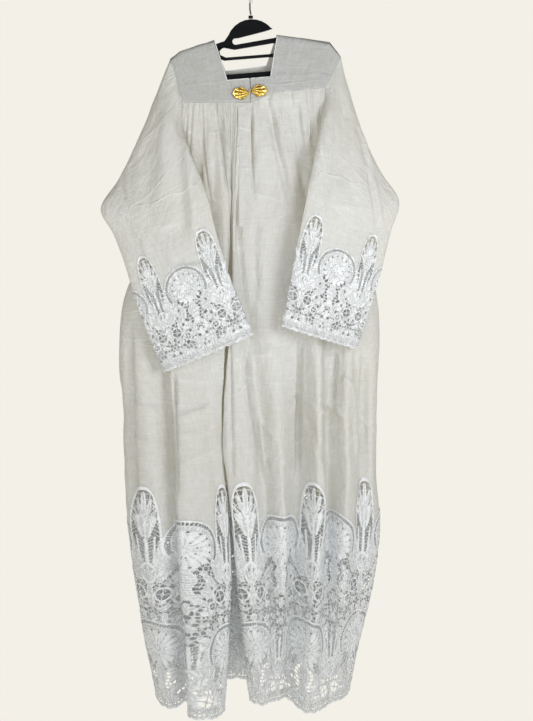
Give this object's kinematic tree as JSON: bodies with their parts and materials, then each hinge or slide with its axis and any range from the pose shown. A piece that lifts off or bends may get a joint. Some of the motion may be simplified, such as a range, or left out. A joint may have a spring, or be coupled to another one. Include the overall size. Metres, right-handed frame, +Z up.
{
  "type": "alb robe on a clothes hanger",
  "caption": "White linen alb hung on a hanger, with a square-necked yoke, a gilt neck clasp, a gathered body and wide sleeves, and deep arched cutwork lace at the hem and cuffs.",
  "frame": {"origin": "inner top of the hanger's hook, where a rail carries it", "axes": "+Z up, -Y towards the robe's front, +X to the right as seen from the front, which is the wearer's left"},
  "size_m": [0.6625, 0.2744, 1.6624],
  "materials": {
    "linen": "white woven linen, softly creased",
    "lace": "white padded cutwork lace with corded edges",
    "gilt": "gilt cast metal",
    "black_plastic": "satin black moulding",
    "steel": "plain drawn wire"
  },
  "bodies": {
    "root": {"yoke_front_right": "linen", "yoke_front_left": "linen", "yoke_back": "linen", "skirt_front": "linen", "skirt_back": "linen", "placket": "linen", "hem_lace_front": "lace", "hem_lace_back": "lace", "sleeve_right": "linen", "sleeve_left": "linen", "cuff_lace_right_front": "lace", "cuff_lace_right_back": "lace", "cuff_lace_left_front": "lace", "cuff_lace_left_back": "lace", "clasp_right": "gilt", "clasp_left": "gilt", "clasp_hook": "gilt", "hanger": "black_plastic", "hanger_collar": "black_plastic", "hanger_hook": "steel"}
  },
  "joints": []
}
